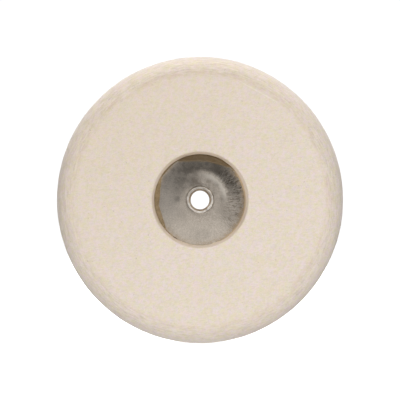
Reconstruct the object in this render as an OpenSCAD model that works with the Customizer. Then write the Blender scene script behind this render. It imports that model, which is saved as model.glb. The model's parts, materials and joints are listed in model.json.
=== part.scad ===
// Felt polishing wheel: a disc of hard pressed felt, a stamped steel dish glued
// into the recess on each side, and one tubular eyelet clinched through both.
//
// The wheel stands upright. Its axis is Y, its front faces -Y, and Z is up.
// Every piece is turned about the axis, so the outlines below are drawn as
// [radius, height], with height 0 on the mid-plane of the felt.

/* [Felt] */
// Outer diameter of the wheel
wheel_d = 152.4; // [125:0.2:205]
// Thickness of the wheel
wheel_t = 25.4; // [22:0.2:32]
// Radius that rounds both edges of the rim
rim_r = 10.3; // [2:0.1:10.8]
// Diameter of each recess at its mouth
recess_d = 50.8; // [49.6:0.1:60]
// Diameter of each recess at its floor
floor_d = 48; // [47.8:0.1:49.4]
// Radius that rounds the felt at the mouth of a recess
mouth_r = 0.8; // [0.2:0.1:2]

/* [Dishes] */
// Outer diameter of each dish
dish_d = 47.6; // [46:0.1:47.8]
// Thickness of the sheet steel
sheet_t = 0.9; // [0.5:0.1:1.2]
// Depth of the edge of a dish below the side of the wheel
dish_depth = 6.3; // [5.5:0.1:6.8]
// Rise of the middle of a dish, outside the seat
middle_rise = 0.42; // [0:0.02:0.6]
// Rise of the bowl from the middle to the edge of the dish
bowl_rise = 2.23; // [1.8:0.01:2.7]

/* [Eyelet] */
// Diameter of the bore for the arbor
bore_d = 10; // [8:0.1:10.6]
// Outer diameter of the tube
tube_d = 11.9; // [11.4:0.1:11.9]
// Outer diameter of the rolled lips
lip_d = 14; // [13.4:0.1:15]
// Height of the rolled lips above their seats
lip_t = 1.1; // [0.9:0.1:1.5]

/* [Adhesive] */
// Thickness of the film under each dish
film_t = 0.25; // [0.1:0.05:0.4]
// Thickness of the adhesive that has run out over the edge of a dish
lobe_t = 0.4; // [0.2:0.05:0.8]

/* [Hidden] */
$fn = 144;

wheel_r = wheel_d / 2;
half_t = wheel_t / 2;
recess_r = recess_d / 2;
floor_r = floor_d / 2;
dish_r = dish_d / 2;
bore_r = bore_d / 2;
tube_r = tube_d / 2;
lip_r = lip_d / 2;

// The dish: a flat seat for the lip, a small pressed step, a curved middle and a bowl
hole_r = 6;
seat_r = 7.6;
step_r = 7.9;
middle_r = 12.8;
seat_step = 0.15;
middle_power = 1.8;
bowl_curve = 0.3;
dish_steps = 20;
edge_h = half_t - dish_depth;
seat_h = edge_h - seat_step - middle_rise - bowl_rise;

// The recess: its floor lies under the film, and its wall leans outwards
under_dish = sheet_t + film_t;
floor_h = edge_h - under_dish;
wall_lean = atan((recess_r - floor_r) / (half_t - floor_h));
mouth_centre_r = recess_r + mouth_r * (1 - sin(wall_lean)) / cos(wall_lean);
mouth_steps = 5;
rim_steps = 14;

// The eyelet: a flared throat, a narrow flat land and a rounded outer edge
land_w = 0.2;
lip_edge_r = 0.25;
flare_r = lip_r - lip_edge_r - land_w - bore_r;
flare_h = 1.05;
flare_steps = 8;
edge_steps = 4;
lip_h = seat_h + lip_t;

// Where the adhesive has run out: [direction of the lobe, distance of its
// straight inner edge from the axis]
front_lobes = [[84, 20.5], [184, 21.6]];
rear_lobes = [[40, 21.6], [235, 22.4]];
lobe_inner_r = 20;
lobe_steps = 5;

// A smooth step from 0 to 1
function ease(t) = t * t * (3 - 2 * t);

// Shape of the bowl, from 0 to 1
function bowl(t) = bowl_curve * ease(t) + (1 - bowl_curve) * t;

// Height of the front surface of a dish
function dish_h(r) =
    r <= seat_r ? seat_h
    : r <= middle_r
        ? seat_h + seat_step + middle_rise * pow((r - step_r) / (middle_r - step_r), middle_power)
        : edge_h - bowl_rise * (1 - bowl((r - middle_r) / (dish_r - middle_r)));

// Radius of the recess wall
function wall_r(h) = floor_r + (h - floor_h) * tan(wall_lean);

// Evenly spaced radii, both ends included
function radii(r0, r1, steps) = [for (i = [0:steps]) r0 + (r1 - r0) * i / steps];

// Points on the front of a dish, moved along the axis
function on_dish(at_radii, shift) = [for (r = at_radii) [r, dish_h(r) + shift]];

// Points on an arc about [x, y]
function arc(x, y, r, from, to, steps) =
    [for (a = radii(from, to, steps)) [x + r * cos(a), y + r * sin(a)]];

// The same points in the opposite order
function reversed(points) = [for (i = [len(points) - 1:-1:0]) points[i]];

// An outline above the mid-plane, joined to its mirror image below
function both_sides(points) = concat(points, [for (p = reversed(points)) [p[0], -p[1]]]);

dish_radii = concat([hole_r, seat_r], radii(step_r, dish_r, dish_steps));
lobe_radii = radii(lobe_inner_r, dish_r, lobe_steps);

// Stands a front piece upright
module front() {
    rotate([90, 0, 0]) children();
}

// The same on the rear side
module rear() {
    rotate([0, 0, 180]) front() children();
}

module felt_body() {
    web = on_dish(dish_radii, -under_dish);
    mouth = arc(mouth_centre_r, half_t - mouth_r, mouth_r, 180 - wall_lean, 90, mouth_steps);
    rim = arc(wheel_r - rim_r, half_t - rim_r, rim_r, 90, 0, rim_steps);
    color([0.89, 0.84, 0.78])
        front() rotate_extrude() polygon(both_sides(concat(web, [[floor_r, floor_h]], mouth, rim)));
}

module dish() {
    color([0.63, 0.61, 0.58])
        rotate_extrude()
            polygon(concat(on_dish(dish_radii, 0), reversed(on_dish(dish_radii, -sheet_t))));
}

module hub_eyelet() {
    throat = [for (a = radii(0, 90, flare_steps))
        [bore_r + flare_r * (1 - cos(a)), lip_h - flare_h * (1 - sin(a))]];
    edge = arc(lip_r - lip_edge_r, lip_h - lip_edge_r, lip_edge_r, 90, 0, edge_steps);
    under_lip = [[lip_r, seat_h], [tube_r, seat_h]];
    color([0.80, 0.79, 0.77])
        front() rotate_extrude() polygon(both_sides(concat(throat, edge, under_lip)));
}

// The film under a dish and the bead that fills the gap round its edge
module film() {
    bead = [[floor_r, floor_h], [wall_r(edge_h), edge_h], [dish_r, edge_h]];
    rotate_extrude()
        polygon(concat(
            on_dish(dish_radii, -under_dish), bead, reversed(on_dish(dish_radii, -sheet_t))));
}

// Adhesive lying on the edge of a dish, ended by a straight inner edge
module lobe(direction, chord) {
    top_h = edge_h + lobe_t;
    wall = [[wall_r(edge_h), edge_h], [wall_r(top_h), top_h]];
    intersection() {
        rotate_extrude()
            polygon(concat(
                on_dish(lobe_radii, 0), wall, reversed(on_dish(lobe_radii, lobe_t))));
        rotate([0, 0, direction])
            translate([chord, -recess_r, 0]) cube([recess_r, recess_d, half_t]);
    }
}

module adhesive(lobes) {
    color([0.43, 0.35, 0.24]) {
        film();
        for (l = lobes) lobe(l[0], l[1]);
    }
}

felt_body();
front() dish();  // front_dish
rear() dish();  // rear_dish
hub_eyelet();
front() adhesive(front_lobes);  // front_adhesive
rear() adhesive(rear_lobes);  // rear_adhesive
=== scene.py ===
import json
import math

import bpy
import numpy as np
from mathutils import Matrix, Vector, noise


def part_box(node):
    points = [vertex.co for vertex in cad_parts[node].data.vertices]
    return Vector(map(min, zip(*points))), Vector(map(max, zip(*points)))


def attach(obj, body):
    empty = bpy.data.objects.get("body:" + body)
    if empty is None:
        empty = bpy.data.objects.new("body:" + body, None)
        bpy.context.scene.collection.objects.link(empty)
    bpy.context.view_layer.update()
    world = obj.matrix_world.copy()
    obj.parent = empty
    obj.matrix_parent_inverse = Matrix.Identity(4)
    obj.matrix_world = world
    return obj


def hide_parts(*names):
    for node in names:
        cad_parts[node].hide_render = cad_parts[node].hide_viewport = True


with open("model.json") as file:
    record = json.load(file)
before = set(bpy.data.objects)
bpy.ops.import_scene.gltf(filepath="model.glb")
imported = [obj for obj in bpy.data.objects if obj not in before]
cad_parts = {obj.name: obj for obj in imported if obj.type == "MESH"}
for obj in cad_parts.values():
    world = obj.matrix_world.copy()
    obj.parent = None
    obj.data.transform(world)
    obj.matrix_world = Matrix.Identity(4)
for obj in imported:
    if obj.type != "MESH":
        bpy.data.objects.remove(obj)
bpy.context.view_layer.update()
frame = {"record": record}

# Felt polishing wheel. Metres throughout. The axis is Y, the front faces -Y and Z is up. Left and right
# are as seen from the front, and directions round the axis run anticlockwise from the right, so 90
# degrees is the top. Outlines are [radius, height] points, where height is the distance from the
# mid-plane towards the side being made.

MM = 0.001

# ---------------------------------------------------------------- sizes, from the frame

felt_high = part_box("felt_body")[1]
dish_low, dish_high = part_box("front_dish")
lip_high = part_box("hub_eyelet")[1]
mounts = {m["name"]: m for m in frame["record"]["mounts"]}

wheel_r = felt_high.x
half_t = felt_high.y
dish_r = dish_high.x
edge_h = -dish_low.y
sheet_t = 0.9 * MM
seat_h = -dish_high.y + sheet_t
lip_r = lip_high.x
lip_h = lip_high.y
bore_r = mounts["arbor_bore"]["dims"]["r_mm"] * MM

# Shapes that the frame's boxes don't give, as in the CAD
rim_r = 10.3 * MM
recess_r = 25.4 * MM
floor_r = 24.0 * MM
floor_h = 5.25 * MM
mouth_r = 0.8 * MM
film_t = 0.25 * MM
hole_r = 6.0 * MM
tube_r = 5.95 * MM
flare_r = 1.55 * MM
flare_h = 1.05 * MM
lip_edge_r = 0.25 * MM
flat_r = wheel_r - rim_r
wall_slope = (recess_r - floor_r) / (half_t - floor_h)
wall_edge_r = floor_r + (edge_h - floor_h) * wall_slope

# The dish: a small step round the seat, then a middle that curves up to where the bowl starts
seat_step = 0.10 * MM
middle_start_r = 7.8 * MM
middle_r = 12.8 * MM
middle_rise = 0.47 * MM
bowl_rise = edge_h - seat_h - seat_step - middle_rise

# On one side of each dish the press has left the middle flat, up to a bend. The directions and the half
# width of these sides are in degrees.
FRONT_FLAT = 52
REAR_FLAT = 205
flat_half_width = 55
flat_rise = 0.15 * MM
bend_r = 15.8 * MM

# A short straight fold in the front of the felt: its direction, and its distance from the axis
fold_way = 61
fold_r = 64.8 * MM

# The direction of a small drop of adhesive at the lower left of the front
drop_way = 237


# ---------------------------------------------------------------- shape helpers

def arc(r, h, radius, start, end, steps):
    """Points on an arc about (r, h), in degrees."""
    turn = np.radians(np.linspace(start, end, steps + 1))
    return np.stack([r + radius * np.cos(turn), h + radius * np.sin(turn)], axis=1)


def line(start, end, steps):
    """Evenly spaced points, without the last one."""
    t = np.linspace(0, 1, steps, endpoint=False)[:, None]
    return np.array(start) * (1 - t) + np.array(end) * t


def both_sides(half):
    """An outline above the mid-plane, joined to its mirror image below."""
    return np.concatenate([half, half[::-1] * [1, -1]])


def ease(t):
    """A smooth step from 0 to 1."""
    t = np.clip(t, 0, 1)
    return t * t * (3 - 2 * t)


def bell(x, centre, width):
    """A smooth bump of height 1."""
    return np.exp(-(((x - centre) / width) ** 2))


def off_way(degrees, direction):
    """How far each angle lies from a direction, between -180 and 180 degrees."""
    return (degrees - direction + 180) % 360 - 180


def near(degrees, direction, width):
    """A smooth bump of height 1 round one direction, for angles in degrees."""
    return bell(off_way(degrees, direction), 0, width)


def lumps(points, size, octaves=1, offset=0.0):
    """Perlin noise between about -1 and 1 at each point; size is the width of a lump."""
    flat = points.reshape(-1, 3) / size + offset
    if octaves == 1:
        values = [noise.noise(Vector(p)) for p in flat]
    else:
        values = [noise.fractal(Vector(p), 0.8, 2.0, octaves) for p in flat]
    return np.array(values).reshape(points.shape[:-1])


def winding(outline):
    """1 for a closed outline that runs anticlockwise, and -1 for a clockwise one."""
    r, h = outline[:, 0], outline[:, 1]
    return math.copysign(1, np.sum(r * np.roll(h, -1) - np.roll(r, -1) * h))


def unit(vectors):
    """The same directions with a length of 1."""
    return vectors / np.maximum(np.linalg.norm(vectors, axis=1, keepdims=True), 1e-12)


def outline_normals(outline):
    """Outward normals at the points of a closed outline."""
    ahead = unit(np.roll(outline, -1, axis=0) - outline)
    along = unit(ahead + np.roll(ahead, 1, axis=0))
    return np.stack([along[:, 1], -along[:, 0]], axis=1) * winding(outline)


def grid_mesh(name, points, material):
    """A piece from a grid of points, [along the outline, round the axis], closed both ways."""
    rows, around = points.shape[:2]
    i = np.arange(rows)[:, None]
    j = np.arange(around)[None, :]
    next_i, next_j = (i + 1) % rows, (j + 1) % around
    corners = [i * around + j, i * around + next_j, next_i * around + next_j, next_i * around + j]
    faces = np.stack(corners, axis=-1).reshape(-1, 4)
    mesh = bpy.data.meshes.new(name)
    mesh.from_pydata(points.reshape(-1, 3).tolist(), [], faces.tolist())
    mesh.polygons.foreach_set("use_smooth", [True] * len(mesh.polygons))
    mesh.materials.append(material)
    mesh.update()
    piece = bpy.data.objects.new(name, mesh)
    bpy.context.scene.collection.objects.link(piece)
    return piece


def place(r, h, angle, side=1):
    """Points in the row frame. side is 1 for the front, which faces -Y, and -1 for the rear."""
    return np.stack([r * np.cos(angle), -side * h + 0 * r, r * np.sin(angle)], axis=-1)


def revolve(name, outline, around, material, shift, side=1):
    """A solid of revolution. shift(r, h, angle, points) gives how far each point moves along its normal."""
    angle = np.linspace(0, 2 * math.pi, around, endpoint=False)[None, :]
    r = np.repeat(outline[:, :1], around, axis=1)
    h = np.repeat(outline[:, 1:], around, axis=1)
    angle = np.repeat(angle, len(outline), axis=0)
    away = shift(r, h, angle, place(r, h, angle, side))
    normal = outline_normals(outline)
    points = place(r + away * normal[:, :1], h + away * normal[:, 1:], angle, side)
    # Keep the faces pointing outwards whichever way the outline runs
    if winding(outline) * side < 0:
        points = points[::-1]
    return grid_mesh(name, points, material)


# ---------------------------------------------------------------- material helpers

class Signal:
    """One output in a node tree. Adding, subtracting and multiplying it make math nodes."""

    def __init__(self, nodes, socket):
        self.nodes = nodes
        self.socket = socket

    def __add__(self, other):
        return self.nodes.math("ADD", self, other)

    def __sub__(self, other):
        return self.nodes.math("SUBTRACT", self, other)

    def __rsub__(self, other):
        return self.nodes.math("SUBTRACT", other, self)

    def __mul__(self, other):
        return self.nodes.math("MULTIPLY", self, other)


class Nodes:
    """A node tree, with short calls that add nodes and link them."""

    def __init__(self, owner):
        owner.use_nodes = True
        self.tree = owner.node_tree
        self.tree.nodes.clear()

    def new(self, kind, inputs=(), **settings):
        """A new node with its inputs set or linked."""
        node = self.tree.nodes.new(kind)
        for key, value in settings.items():
            setattr(node, key, value)
        for key, value in dict(inputs).items():
            if isinstance(value, Signal):
                self.tree.links.new(value.socket, node.inputs[key])
            else:
                node.inputs[key].default_value = value
        return node

    def add(self, kind, inputs=(), output=0, **settings):
        """One output of a new node."""
        return Signal(self, self.new(kind, inputs, **settings).outputs[output])

    def math(self, operation, a, b=0.0):
        return self.add("ShaderNodeMath", {0: a, 1: b}, operation=operation)

    def vector_math(self, operation, inputs, output="Vector"):
        return self.add("ShaderNodeVectorMath", inputs, output, operation=operation)

    def band(self, value, low, high, top=1.0):
        """A smooth step: 0 below low and top above high. With low above high it falls instead."""
        ends = {"Value": value, "From Min": low, "From Max": high, "To Min": 0.0, "To Max": top}
        return self.add("ShaderNodeMapRange", ends, interpolation_type="SMOOTHSTEP")

    def mix(self, factor, a, b):
        return self.add("ShaderNodeMix", {"Factor": factor, 6: a, 7: b}, 2, data_type="RGBA")

    def noise(self, vector, scale, detail=2.0, roughness=0.5, distortion=0.0, output="Fac"):
        return self.add("ShaderNodeTexNoise", {"Vector": vector, "Scale": scale, "Detail": detail,
                                               "Roughness": roughness, "Distortion": distortion}, output)

    def position(self):
        """Object coordinates in millimetres."""
        metres = self.add("ShaderNodeTexCoord", output="Object")
        return self.vector_math("SCALE", {0: metres, 3: 1 / MM})

    def stretched(self, vector, turn, scale):
        """The coordinates in a turned frame, divided by a size for each of its axes."""
        return self.add("ShaderNodeMapping", {"Vector": vector, "Rotation": turn, "Scale": scale},
                        vector_type="TEXTURE")

    def split(self, vector):
        """The X, Y and Z of a vector."""
        node = self.new("ShaderNodeSeparateXYZ", {0: vector})
        return [Signal(self, socket) for socket in node.outputs]

    def combine(self, x, y, z):
        return self.add("ShaderNodeCombineXYZ", {0: x, 1: y, 2: z})

    def polar(self, vector):
        """Radius and angle about Y, and the height along it."""
        x, y, z = self.split(vector)
        return self.math("SQRT", x * x + z * z), self.math("ARCTAN2", z, x), y

    def facing(self, angle, degrees):
        """1 in one direction round the axis, 0 at right angles to it and -1 opposite it."""
        return self.math("COSINE", angle - math.radians(degrees))

    def bump(self, height, distance, strength):
        return self.add("ShaderNodeBump", {"Height": height, "Distance": distance, "Strength": strength})

    def surface(self, inputs):
        """A Principled shader as the surface of the material."""
        shader = self.new("ShaderNodeBsdfPrincipled", inputs)
        self.new("ShaderNodeOutputMaterial", {"Surface": Signal(self, shader.outputs[0])})
        return shader


def new_material(name):
    """A material with its node tree, its coordinates in millimetres, and those as radius, angle and Y."""
    material = bpy.data.materials.new(name)
    nodes = Nodes(material)
    spot = nodes.position()
    return material, nodes, spot, nodes.polar(spot)


def rgb(r, g, b):
    """An sRGB colour in 0..255 as a linear RGBA value."""
    def linear(c):
        c /= 255
        return c / 12.92 if c <= 0.04045 else ((c + 0.055) / 1.055) ** 2.4
    return (linear(r), linear(g), linear(b), 1.0)


# ---------------------------------------------------------------- materials, with distances in millimetres

def fibres(nodes, spot, length, width):
    """Matted fibres, most of them lying near level: the highest of four layers of stretched noise."""
    highest = None
    for k, degrees in enumerate((-8, 5, -24, -70)):
        turn = (math.radians(23 * k), math.radians(degrees), math.radians(11 * k))
        layer = nodes.noise(nodes.stretched(spot, turn, (length, width, width)), 1.0, 2.0, 0.55)
        highest = layer if highest is None else nodes.math("MAXIMUM", highest, layer)
    return highest


def fold_crest(nodes, spot, y):
    """1 along the top of the fold in the front of the felt, and 0 away from it."""
    way = math.radians(fold_way)
    outward = (math.cos(way), 0, math.sin(way))
    lengthwise = (-math.sin(way), 0, math.cos(way))
    out = nodes.vector_math("DOT_PRODUCT", {0: spot, 1: outward}, "Value") - fold_r / MM
    along = nodes.math("ABSOLUTE", nodes.vector_math("DOT_PRODUCT", {0: spot, 1: lengthwise}, "Value"))
    crest = nodes.band(out, -0.45, -0.08) * nodes.band(out, 0.45, 0.08)
    return crest * nodes.band(along, 14.0, 6.0) * nodes.band(y, -11.0, -12.0)


def felt_material():
    material, nodes, spot, (radius, angle, y) = new_material("pressed_felt")
    warp = nodes.noise(spot, 0.2, output="Color")
    bent = nodes.vector_math("ADD", {0: spot, 1: nodes.vector_math("SCALE", {0: warp, 3: 2.0})})
    hairs = fibres(nodes, bent, 2.8, 0.31)
    clumps = fibres(nodes, bent, 4.6, 0.8)
    tufts = nodes.noise(nodes.stretched(spot, (0.1, -0.15, 0.1), (2.4, 1.0, 1.0)), 1.0, 3.0, 0.65)
    soft = nodes.noise(spot, 0.16, 3.0, 0.6)
    tint = nodes.noise(nodes.stretched(spot, (0.3, 0.2, 0.1), (1, 1, 1)), 0.42, 3.0, 0.8)
    warmth = nodes.noise(nodes.stretched(spot, (0.1, 0.7, 0.4), (1, 1, 1)), 0.30, 3.0, 0.7)

    # Wool in two tints, with greener and redder patches, and lighter and darker fibres
    colour = nodes.mix(nodes.band(tint, 0.36, 0.64), rgb(235, 217, 218), rgb(228, 217, 183))
    colour = nodes.mix(nodes.band(warmth, 0.50, 0.36, 0.28), colour, rgb(220, 219, 201))
    colour = nodes.mix(nodes.band(warmth, 0.50, 0.64, 0.28), colour, rgb(238, 212, 202))
    colour = nodes.mix(nodes.band(soft, 0.35, 0.65, 0.25), colour, rgb(229, 217, 201))
    colour = nodes.mix(nodes.band(clumps, 0.56, 0.74, 0.30), colour, rgb(242, 232, 219))
    colour = nodes.mix(nodes.band(tufts, 0.52, 0.36, 0.26), colour, rgb(208, 194, 177))
    colour = nodes.mix(nodes.band(hairs, 0.54, 0.76, 0.34), colour, rgb(241, 231, 218))
    colour = nodes.mix(nodes.band(hairs, 0.58, 0.46, 0.26), colour, rgb(205, 190, 172))
    # Painted shade: towards the upper left the face is painted a little darker and yellower
    x, _, z = nodes.split(spot)
    colour = nodes.mix(nodes.band(z * 0.8 - x * 0.6, -30.0, 70.0, 0.15), colour, rgb(212, 190, 160))

    # The rim was cut while the wheel turned, which has combed it lengthwise
    rim = nodes.band(radius, 64.5, 69.0)
    combed = nodes.noise(nodes.combine(angle * 14.0, radius * 1.4, y * 1.4), 1.0, 3.0, 0.6)
    colour = nodes.mix(nodes.band(combed, 0.50, 0.34, 0.21) * rim, colour, rgb(180, 158, 136))
    colour = nodes.mix(nodes.band(combed, 0.50, 0.68, 0.30) * rim, colour, rgb(248, 239, 226))
    # Towards the outside of the rim the colour is mixed a little towards a cooler grey
    colour = nodes.mix(nodes.band(radius, 73.0, 75.8, 0.35), colour, rgb(221, 212, 209))

    # A darker tan band where the rim starts to round, strongest along the top and at the lower right
    strokes = nodes.noise(nodes.combine(angle * 9.0, radius * 0.32, y), 1.0, 3.0, 0.6)
    reach = radius + (nodes.noise(spot, 0.11, 3.0, 0.6) - 0.5) * 5.0
    ring = nodes.band(reach, 65.0, 67.2) * nodes.band(reach, 69.8, 67.4)
    upward = nodes.facing(angle, 90)
    lower_right = nodes.band(nodes.facing(angle, -34.4), 0.4, 0.95, 0.10)
    tan_band_weight = nodes.band(upward, -0.2, 0.95, 0.11) + lower_right + 0.08
    colour = nodes.mix(ring * nodes.band(strokes, 0.34, 0.60) * tan_band_weight, colour, rgb(200, 166, 122))
    # Painted highlight: the crest of the fold on the front is painted lighter
    colour = nodes.mix(fold_crest(nodes, spot, y) * 0.4, colour, rgb(247, 239, 228))

    # The cut wall of the recess is browner than the faces, and painted shade darkens it further at the top
    # and a little at the bottom
    wall = nodes.band(radius, 26.0, 25.3) * nodes.band(nodes.math("ABSOLUTE", y), 12.65, 12.2)
    wall_brown_and_shade = nodes.band(upward, 0.3, 0.95, 0.28) + nodes.band(upward, 0.2, -0.7, 0.12) + 0.38
    colour = nodes.mix(wall * wall_brown_and_shade, colour, rgb(203, 181, 155))
    # A few dark fibres are caught in the wool
    specks = nodes.noise(nodes.stretched(spot, (0.4, 0.9, 0.2), (1.5, 0.7, 0.7)), 0.9, 1.0, 0.5)
    colour = nodes.mix(nodes.band(specks, 0.73, 0.80, 0.4), colour, rgb(168, 148, 126))

    height = hairs * 0.6 + clumps * 1.1 + tufts * 0.8 + combed * rim * 1.05
    rougher_rim = nodes.band(radius, 64.0, 70.0, 0.4) + 0.6
    shader = nodes.surface({"Base Color": colour, "Roughness": hairs * 0.12 + 0.84,
                            "Normal": nodes.bump(height, 0.34 * MM, rougher_rim)})
    shader.inputs["Specular IOR Level"].default_value = 0.2
    shader.inputs["Sheen Weight"].default_value = 0.12
    shader.inputs["Sheen Roughness"].default_value = 0.6
    return material


def plated_steel_material():
    material, nodes, spot, (radius, angle, y) = new_material("plated_steel")
    rightward, upward = nodes.facing(angle, 0), nodes.facing(angle, 90)
    front = nodes.band(y, 0.0, -1.0)
    blotch = nodes.noise(spot, 0.30, 3.0, 0.6, 0.3)
    grain = nodes.noise(spot, 2.2, 2.0, 0.6)
    # The left of the bowl is painted lighter, a painted reflection, and the middle is darker, most of all
    # below the eyelet
    left = nodes.band(nodes.facing(angle, 165), 0.5, 0.95, 0.85) * nodes.band(radius, 8.5, 12.5)
    colour = nodes.mix(left, rgb(187, 177, 165), rgb(221, 211, 199))
    below = nodes.band(nodes.facing(angle, 260), 0.2, 0.9, 0.36) + 0.24
    colour = nodes.mix(below * nodes.band(radius, 15.5, 10.5), colour, rgb(164, 154, 143))
    colour = nodes.mix(nodes.band(grain, 0.56, 0.36, 0.33), colour, rgb(150, 140, 128))
    colour = nodes.mix(nodes.band(grain, 0.46, 0.66, 0.25), colour, rgb(228, 219, 207))
    # Dark blotches, heaviest towards the top: partly tarnish, and partly painted shade where the bowl
    # reflects dark
    upper = nodes.band(upward, 0.1, 0.8, 0.40) + 0.10
    colour = nodes.mix(nodes.band(blotch, 0.55, 0.40) * upper, colour, rgb(140, 130, 119))

    # Scratches run outwards on the right: dark ones, and above them, in the shade, painted glints where the
    # scratches catch the light
    streak = nodes.noise(nodes.combine(angle * 34.0, radius * 0.30, y), 1.0, 3.0, 0.7, 0.4)
    scratched = nodes.band(radius, 13.0, 17.0) * nodes.band(nodes.facing(angle, 8.6), 0.45, 0.95)
    patches = nodes.band(nodes.noise(spot, 0.34), 0.34, 0.56)
    marks = scratched * patches * 0.78 + 0.10
    colour = nodes.mix(nodes.band(streak, 0.46, 0.60) * marks, colour, rgb(116, 106, 94))
    glints = nodes.band(streak, 0.46, 0.36) * marks * nodes.band(upward, 0.05, 0.5)
    colour = nodes.mix(glints, colour, rgb(240, 232, 220))

    # Smudges on the front: direction, distance from the axis, size and strength
    level = nodes.vector_math("MULTIPLY", {0: spot, 1: (1, 0, 1)})
    smudges = ((108, 9.0, 3.6, 0.5), (178, 12.2, 1.8, 0.42), (64, 11.0, 1.4, 0.25), (6, 12.3, 2.2, 0.5))
    for degrees, distance, size, strength in smudges:
        way = math.radians(degrees)
        centre = (distance * math.cos(way), 0, distance * math.sin(way))
        off = nodes.vector_math("DISTANCE", {0: level, 1: centre}, "Value")
        smudge = nodes.band(off, size * 1.3, size * 0.3, strength) * front
        colour = nodes.mix(smudge, colour, rgb(112, 103, 94))
    # At the upper right of the front, the bend round the flattened middle is painted bright: a painted
    # highlight
    edge = radius + nodes.noise(spot, 0.45, 2.0, 0.6) * 2.4
    bend_highlight = nodes.band(edge, 12.2, 14.4) * nodes.band(edge, 16.2, 15.0)
    bend_highlight = bend_highlight * nodes.band(nodes.facing(angle, 43), 0.55, 0.95) * front
    colour = nodes.mix(bend_highlight * 0.6, colour, rgb(226, 218, 206))

    # Brown residue lies round the edge, most of all on the right
    stain = nodes.band(radius, 20.5, 23.6) * nodes.band(nodes.noise(spot, 0.5, 4.0, 0.7), 0.36, 0.60)
    stain = stain * (nodes.band(rightward, 0.35, 0.85, 0.35) + 0.45)
    colour = nodes.mix(stain, colour, rgb(166, 142, 110))

    height = blotch * (upper * 1.2 + 0.1) + grain * 0.12 + streak * (scratched * 1.4 + 0.2)
    nodes.surface({"Base Color": colour, "Metallic": 1.0 - stain,
                   "Roughness": streak * 0.14 + scratched * 0.06 + 0.24,
                   "Normal": nodes.bump(height, 0.16 * MM, 0.5)})
    return material


def eyelet_material():
    material, nodes, spot, (radius, angle, y) = new_material("eyelet_steel")
    marks = nodes.noise(nodes.combine(angle * 4.0, radius, y), 0.8, 3.0, 0.6)
    colour = nodes.mix(nodes.band(marks, 0.4, 0.66), rgb(240, 235, 228), rgb(214, 205, 194))
    # The top of each lip is painted darker: painted shade
    lip_top_shade = nodes.band(nodes.facing(angle, 90), 0.1, 0.6, 0.5) * nodes.band(radius, 5.9, 6.4)
    colour = nodes.mix(lip_top_shade, colour, rgb(176, 166, 154))
    # The inside of the tube is browner and less metallic, in patches
    brown_bore = nodes.band(radius, 6.15, 5.8) * nodes.band(marks, 0.1, 0.5)
    colour = nodes.mix(brown_bore, colour, rgb(142, 124, 103))
    nodes.surface({"Base Color": colour, "Metallic": 1.0 - brown_bore * 0.75,
                   "Roughness": brown_bore * 0.14 + marks * 0.2 + 0.32,
                   "Normal": nodes.bump(nodes.noise(spot, 1.6), 0.05 * MM, 0.25)})
    return material


def adhesive_material():
    material, nodes, spot, (_, angle, y) = new_material("dried_adhesive")
    upward = nodes.facing(angle, 90)
    cloud = nodes.noise(spot, 0.5, 4.0, 0.6)
    colour = nodes.mix(nodes.band(cloud, 0.35, 0.66), rgb(130, 108, 72), rgb(154, 132, 96))
    # The run-out at the top is the thickest, and it is painted darkest: painted shade under the top wall of
    # the recess
    colour = nodes.mix(nodes.band(upward, 0.42, 0.85, 0.78), colour, rgb(95, 74, 40))
    # On the right it is thin, and at the bottom the felt shows through it
    x, _, z = nodes.split(spot)
    thin = nodes.band(x, -18.0, -12.0) * nodes.band(z, 19.0, 12.0)
    colour = nodes.mix(thin * 0.8, colour, rgb(204, 180, 146))
    colour = nodes.mix(nodes.band(upward, -0.84, -0.94, 0.9), colour, rgb(220, 206, 184))
    # One dark drop lies at the lower left of the front
    drop = nodes.band(nodes.facing(angle, drop_way), 0.9975, 0.9992, 0.85) * nodes.band(y, 0.0, -1.0)
    colour = nodes.mix(drop, colour, rgb(96, 76, 56))
    nodes.surface({"Base Color": colour, "Roughness": cloud * 0.3 + 0.32,
                   "Normal": nodes.bump(nodes.noise(spot, 1.4, 3.0, 0.55), 0.2 * MM, 0.5)})
    return material


# ---------------------------------------------------------------- pieces

def dish_height(r):
    """Front of a dish: a flat seat, a pressed step, a middle that curves up gently, and a conical bowl."""
    step_start, step_w = 7.15 * MM, 0.6 * MM
    step = seat_step * ease((r - step_start) / step_w)
    groove = 0.008 * MM * bell(r, step_start, 0.1 * MM)
    curve = middle_rise * np.clip((r - middle_start_r) / (middle_r - middle_start_r), 0, 1) ** 1.8
    t = np.clip((r - middle_r) / (dish_r - middle_r), 0, 1)
    return seat_h + step - groove + curve + bowl_rise * (0.3 * ease(t) + 0.7 * t)


def flatter_height(r):
    """The same where the press has left the middle flat, which makes the bowl steeper."""
    corner = 0.7 * MM
    slope = (edge_h - seat_h - flat_rise) / (dish_r - bend_r)
    climb = slope * corner * np.logaddexp(0, (r - bend_r) / corner)
    ridge = 0.12 * MM * bell(r, 13.9 * MM, 2.0 * MM)
    return seat_h + flat_rise + climb + ridge


def pressed(r, angle, direction):
    """How far the front of a dish is shifted where the press has flattened it; direction is in degrees."""
    window = np.exp(-(off_way(np.degrees(angle), direction) / flat_half_width) ** 4)
    window = window * ease((r - 7.9 * MM) / (2 * MM)) * ease((dish_r - r) / (1 * MM))
    return window * (flatter_height(r) - dish_height(r))


def under_dish(r, depth):
    """Points at a depth below the front of a dish."""
    return np.stack([r, dish_height(r) - depth], axis=1)


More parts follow.
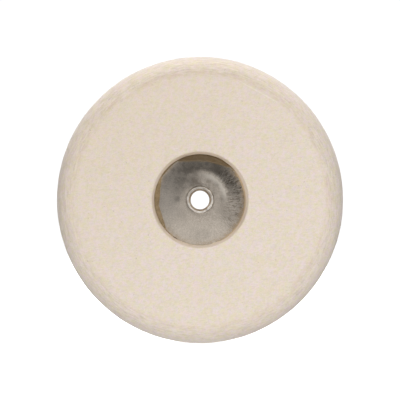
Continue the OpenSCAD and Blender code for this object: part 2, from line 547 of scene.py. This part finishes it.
def felt_outline():
    """Half of the felt's section, from the tube outwards to the mid-plane of the rim."""
    lean = math.atan(wall_slope)
    mouth_centre = recess_r + mouth_r * (1 - math.sin(lean)) / math.cos(lean)
    mouth = arc(mouth_centre, half_t - mouth_r, mouth_r, 180 - math.degrees(lean), 90, 6)
    fold_start = (fold_r - 1.4 * MM, half_t)
    rim_h = half_t - rim_r
    return np.concatenate([
        under_dish(np.linspace(hole_r, dish_r, 14), sheet_t + film_t),
        line((floor_r, floor_h), mouth[0], 8),
        mouth[:-1],
        line(mouth[-1], fold_start, 32),
        line(fold_start, (flat_r, half_t), 10),
        arc(flat_r, rim_h, rim_r, 90, 72, 12)[:-1],
        arc(flat_r, rim_h, rim_r, 72, 0, 13)[:-1],
        line((wheel_r, rim_h), (wheel_r, 0), 3),
    ])


def felt_shift(r, h, angle, points):
    """Hand-made unevenness: broad swells, small lumps, ridges, and a fold where the rim starts to round."""
    rim = ease((r - 61 * MM) / (9 * MM)) * (1 - 0.6 * ease((r - 73 * MM) / (3 * MM)))
    inside = ease((r - floor_r) / (1.5 * MM))
    broad = 0.10 * MM * lumps(points, 16 * MM)
    small = (0.035 + 0.075 * rim) * MM * lumps(points, 4.5 * MM, 2, 3.1)
    # Shallow ridges run along the rim where it starts to round, deepest at the lower right
    belt = ease((r - 62 * MM) / (4 * MM)) * ease((74 * MM - r) / (3 * MM))
    spread = place(wheel_r + 0 * r, 3 * r, angle, np.sign(h))
    ridges = (0.08 + 0.12 * near(np.degrees(angle), 325, 45)) * MM * belt * lumps(spread, 9 * MM, 2, 7.7)
    turn = angle - math.radians(fold_way)
    along, out = r * np.sin(turn), r * np.cos(turn)
    ends = bell(along, 0, 9 * MM) * (h > 0.5 * half_t) * (out > 0)
    crest = 0.14 * MM * bell(out, fold_r, 0.45 * MM)
    trough = 0.12 * MM * bell(out, fold_r + 1.1 * MM, 0.8 * MM)
    # The web under each dish follows the side that the press has flattened
    web = np.where(h > 0, pressed(r, angle, FRONT_FLAT), pressed(r, angle, REAR_FLAT)) * (r < dish_r)
    return (broad + small) * inside + ridges + (crest - trough) * ends + web


def dish_outline():
    """Section of a dish, closed, with its points closest together at the pressed step."""
    r = np.concatenate([np.linspace(hole_r, 7.0 * MM, 4), np.linspace(7.1 * MM, 8.2 * MM, 16),
                        np.linspace(8.5 * MM, dish_r - 0.2 * MM, 50)])
    top = under_dish(r, 0)
    edge_top = [[dish_r - 0.06 * MM, edge_h - 0.10 * MM], [dish_r, edge_h - 0.22 * MM]]
    edge_low = [[dish_r, edge_h - sheet_t + 0.1 * MM], [dish_r - 0.1 * MM, edge_h - sheet_t - 0.03 * MM]]
    low = under_dish(np.linspace(dish_r - 0.8 * MM, hole_r, 14), sheet_t)
    return np.concatenate([top, edge_top, edge_low, low])


def dish_shift(direction):
    """Shallow waves from stamping, a flattened side, and a lower edge that reaches the wall."""
    def shift(r, h, angle, points):
        free = ease((r - 8.0 * MM) / (3 * MM)) * ease((dish_r - r) / (1.5 * MM))
        waves = 0.035 * MM * lumps(points, 8.5 * MM, 1, 5.3) + 0.020 * MM * lumps(points, 3.4 * MM, 1, 1.7)
        stretch = 0.25 * MM * near(np.degrees(angle), 268, 38) * (r > dish_r - 0.15 * MM)
        top_or_under = np.sign(h - dish_height(r) + 0.3 * MM)
        return (free * waves + pressed(r, angle, direction)) * top_or_under + stretch
    return shift


def eyelet_outline():
    """Section of the eyelet: a flared throat, a flat land, a rolled edge and the tube."""
    land_r = lip_r - lip_edge_r
    flare = arc(0, 0, 1, 180, 90, 16) * [flare_r, flare_h] + [bore_r + flare_r, lip_h - flare_h]
    return both_sides(np.concatenate([
        flare,
        line((bore_r + flare_r + 0.05 * MM, lip_h), (land_r, lip_h), 3),
        arc(land_r, lip_h - lip_edge_r, lip_edge_r, 90, -25, 10),
        line((lip_r - 0.15 * MM, seat_h), (tube_r, seat_h), 3),
        line((tube_r, seat_h - 0.05 * MM), (tube_r, 0), 5),
    ]))


def eyelet_shift(r, h, angle, points):
    """The clinched lips are slightly uneven, with one nick in the front one."""
    lip = ease((np.abs(h) - 3.7 * MM) / (0.5 * MM))
    around = np.degrees(angle)
    nick = 0.30 * MM * near(around, 297, 6) * (h > 0) * ease((r - 5.9 * MM) / (0.4 * MM))
    return lip * (0.05 * MM * lumps(points, 5.0 * MM, 1, 2.2) - nick)


# Straight stretches of the inner edge of the run-out: direction in degrees, and millimetres from the axis
FRONT_EDGES = [(90, 20.42), (76, 20.61), (174.3, 21.38), (197.4, 21.64)]
REAR_EDGES = [(128, 21.7), (142, 21.5), (305, 22.3)]


def bead_reach(angle, edges, thin):
    """Inner radius of the adhesive round the dish; thin(degrees) is the width of the bead elsewhere."""
    degrees = np.degrees(angle)
    reach = wall_edge_r - thin(degrees)
    for direction, distance in edges:
        across = np.cos(np.radians(off_way(degrees, direction)))
        chord = np.where(across > 0.5, distance * MM / np.maximum(across, 0.5), wall_edge_r)
        reach = np.minimum(reach, chord)
    return reach


def make_adhesive(name, edges, thin, flat_side, side, material, offset):
    """The film under a dish, the bead round its edge and the run-out over it, as one closed solid."""
    angle = np.linspace(0, 2 * math.pi, 720, endpoint=False)
    same = np.ones_like(angle)

    def sheet_height(r):
        """Front of the dish that the adhesive lies on."""
        return dish_height(r) + pressed(r, angle, flat_side)

    reach = bead_reach(angle, edges, thin)
    edge = place(reach, 0 * reach, angle)
    reach = np.minimum(reach + 0.12 * MM * lumps(edge, 2.6 * MM, 2, offset), wall_edge_r)
    width = wall_edge_r - reach

    # The film, then the corner of the recess
    film_r = np.linspace(hole_r, dish_r, 12)[:, None] * same
    film_h = sheet_height(film_r) - sheet_t - film_t
    corner = np.array([floor_r, floor_h])[:, None, None] * same

    # The domed top, from the wall inwards, which climbs a little up the wall
    t = np.linspace(0, 1, 13)[:, None]
    top_r = wall_edge_r - width * t
    spots = place(top_r, sheet_height(np.minimum(top_r, dish_r)), angle + 0 * t, side)
    domed = np.minimum(0.16 * width, 0.34 * MM) * np.sqrt(np.clip(1 - t ** 3, 0, 1))
    domed = domed * (1 + 0.4 * lumps(spots, 2.0 * MM, 1, offset))
    climb = 0.25 * MM * (1 - t) ** 5
    top_h = -side * spots[..., 1] + 0.01 * MM + domed + climb

    # Back under the run-out, just inside the steel, and down the edge of the dish
    back_r = reach + (dish_r - 0.1 * MM - reach) * np.linspace(0.05, 1, 6)[:, None]
    back_h = sheet_height(back_r) - 0.02 * MM
    down_r = np.array([[dish_r], [dish_r]]) * same
    down_h = np.array([[edge_h - 0.2 * MM], [edge_h - sheet_t]]) * same

    r = np.concatenate([film_r, corner[0], top_r, back_r, down_r, film_r[::-1]])
    h = np.concatenate([film_h, corner[1], top_h, back_h, down_h, film_h[::-1] + film_t])
    points = place(r, h, angle + 0 * r, side)
    # Keep the faces pointing outwards on both sides
    if side < 0:
        points = points[::-1]
    return grid_mesh(name, points, material)


def front_thin(degrees):
    """Width of the front bead away from the run-out: wide on the right, thin below, none at the bottom."""
    right = near(degrees, 18, 34)
    lower_right = near(degrees, 322, 22)
    lower_left = near(degrees, 224, 13)
    upper_left = near(degrees, 140, 25)
    drops = 0.7 * near(degrees, drop_way, 1.2) + 0.5 * near(degrees, 288, 3)
    below = 0.30 * lower_right + 0.08 * lower_left
    return (0.02 + 0.80 * right + 0.85 * upper_left + below + drops) * MM


def rear_thin(degrees):
    """The same on the rear side."""
    return (0.30 + 0.22 * np.sin(np.radians(2 * degrees + 40))) * MM


def carry(piece, node):
    """The piece stands for a CAD node, and rides on the one body."""
    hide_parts(node)
    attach(piece, "root")


felt = revolve("felt_wheel", both_sides(felt_outline()), 480, felt_material(), felt_shift)
carry(felt, "felt_body")

steel = plated_steel_material()
for side_name, side, flatter_side in (("front", 1, FRONT_FLAT), ("rear", -1, REAR_FLAT)):
    shift = dish_shift(flatter_side)
    dish = revolve(side_name + "_pressed_dish", dish_outline(), 384, steel, shift, side)
    carry(dish, side_name + "_dish")

eyelet = revolve("clinched_eyelet", eyelet_outline(), 192, eyelet_material(), eyelet_shift)
carry(eyelet, "hub_eyelet")

glue = adhesive_material()
front_bead = make_adhesive("front_glue_bead", FRONT_EDGES, front_thin, FRONT_FLAT, 1, glue, 4.4)
carry(front_bead, "front_adhesive")
rear_bead = make_adhesive("rear_glue_bead", REAR_EDGES, rear_thin, REAR_FLAT, -1, glue, 9.1)
carry(rear_bead, "rear_adhesive")


# ---------------------------------------------------------------- stage: floor, light and camera

def make_floor():
    """A pale floor just under the wheel, whose own glow fades it into the white further out."""
    material, nodes, spot, _ = new_material("pale_floor")
    tone = nodes.mix(nodes.noise(spot, 0.01), (0.86, 0.86, 0.86, 1), (0.88, 0.88, 0.88, 1))
    shader = nodes.add("ShaderNodeBsdfPrincipled", {"Base Color": tone, "Roughness": 0.9})
    distance = nodes.vector_math("LENGTH", {0: spot}, "Value")
    strength = nodes.band(distance, 90.0, 420.0) * 0.50 + 0.62
    glow = nodes.add("ShaderNodeEmission", {"Color": (1, 1, 1, 1), "Strength": strength})
    both = nodes.add("ShaderNodeAddShader", {0: shader, 1: glow})
    nodes.new("ShaderNodeOutputMaterial", {"Surface": both})

    reach = 4.0
    z = -wheel_r - 0.25 * MM
    corners = [(-reach, -reach, z), (reach, -reach, z), (reach, reach, z), (-reach, reach, z)]
    mesh = bpy.data.meshes.new("floor")
    mesh.from_pydata(corners, [], [(0, 1, 2, 3)])
    mesh.materials.append(material)
    floor = bpy.data.objects.new("floor", mesh)
    bpy.context.scene.collection.objects.link(floor)
    floor.visible_diffuse = False
    floor.visible_glossy = False
    floor.visible_shadow = False


def softbox(name, azimuth, elevation, distance, width, height, power, lights="all"):
    """A rectangular lamp aimed at the wheel. Azimuth 0 is straight in front, and 90 is to the right.

    lights is "all", "gloss" for a lamp that only shows in reflections, or "matt" for one that never does.
    """
    a, e = math.radians(azimuth), math.radians(elevation)
    way = Vector((math.sin(a) * math.cos(e), -math.cos(a) * math.cos(e), math.sin(e)))
    lamp = bpy.data.lights.new(name, "AREA")
    lamp.shape = "RECTANGLE"
    lamp.size, lamp.size_y = width, height
    lamp.energy = power
    holder = bpy.data.objects.new(name, lamp)
    holder.location = way * distance
    holder.rotation_mode = "QUATERNION"
    holder.rotation_quaternion = way.to_track_quat("Z", "Y")
    holder.visible_diffuse = lights != "gloss"
    holder.visible_glossy = lights != "matt"
    bpy.context.scene.collection.objects.link(holder)


def make_world():
    """White behind the wheel, and a dim even surround for everything that it lights."""
    world = bpy.data.worlds.new("surround")
    bpy.context.scene.world = world
    nodes = Nodes(world)
    seen = nodes.add("ShaderNodeBackground", {"Color": (1, 1, 1, 1), "Strength": 1.05})
    lit = nodes.add("ShaderNodeBackground", {"Color": (1, 1, 1, 1), "Strength": 0.02})
    camera_ray = nodes.add("ShaderNodeLightPath", output="Is Camera Ray")
    both = nodes.add("ShaderNodeMixShader", {0: camera_ray, 1: lit, 2: seen})
    nodes.new("ShaderNodeOutputWorld", {"Surface": both})


def make_camera():
    """Straight in front of the wheel; 0.9 m away, where the frame is 213.7 mm wide at the mid-plane."""
    distance, frame_width, sensor = 0.9, 0.2137, 36
    data = bpy.data.cameras.new("camera")
    data.sensor_width = sensor
    data.lens = sensor * distance / frame_width
    data.clip_start, data.clip_end = 0.01, 20
    camera = bpy.data.objects.new("camera", data)
    camera.location = (0, -distance, 0)
    camera.rotation_euler = (math.radians(90), 0, 0)
    bpy.context.scene.collection.objects.link(camera)
    bpy.context.scene.camera = camera


make_camera()
make_floor()
make_world()
# Each lamp: azimuth and elevation, distance from the wheel, width and height, and power in watts
softbox("high_right", 40, 36, 1.2, 0.45, 0.40, 4.7)
softbox("high_left", -40, 36, 1.2, 0.45, 0.40, 1.4)
softbox("right_wing", 62, 36, 1.2, 0.45, 0.40, 2.7)
softbox("left_wing", -62, 36, 1.2, 0.45, 0.40, 2.9)
softbox("overhead", 0, 86, 1.2, 0.90, 0.60, 0.6)
softbox("below", 0, -68, 0.6, 0.30, 0.30, 2.1)
softbox("front_low", 0, 6, 1.0, 0.42, 0.28, 0.55)
softbox("front_high", 0, 22, 1.0, 0.42, 0.28, 0.36)
softbox("front_left", -26, 22, 1.0, 0.42, 0.28, 0.59)
softbox("front_right", 26, 22, 1.0, 0.42, 0.28, 0.37)
softbox("front_below", 0, -14, 1.0, 0.42, 0.28, 0.13)
softbox("side_left", -70, 6, 1.2, 0.40, 0.50, 3.8)
softbox("side_right", 46, -8, 0.9, 0.40, 0.35, 1.16)
softbox("low_left", -66, -32, 1.0, 0.50, 0.40, 0.6, "gloss")
softbox("low_right", 66, -32, 1.0, 0.50, 0.40, 0.8, "gloss")
softbox("rear_top", 180, 74, 1.2, 0.60, 0.40, 7.2)
softbox("rear_high_left", 150, 20, 1.2, 0.70, 0.50, 3.4)
softbox("rear_high_right", 210, 20, 1.2, 0.70, 0.50, 3.2)
softbox("rear_fill", 180, -2, 1.0, 0.50, 0.40, 0.7)
softbox("rear_matt", 180, 8, 1.0, 0.60, 0.50, 2.6, "matt")
softbox("rear_low", 180, -30, 1.0, 0.60, 0.30, 2.1)
bpy.context.scene.view_settings.view_transform = "Standard"
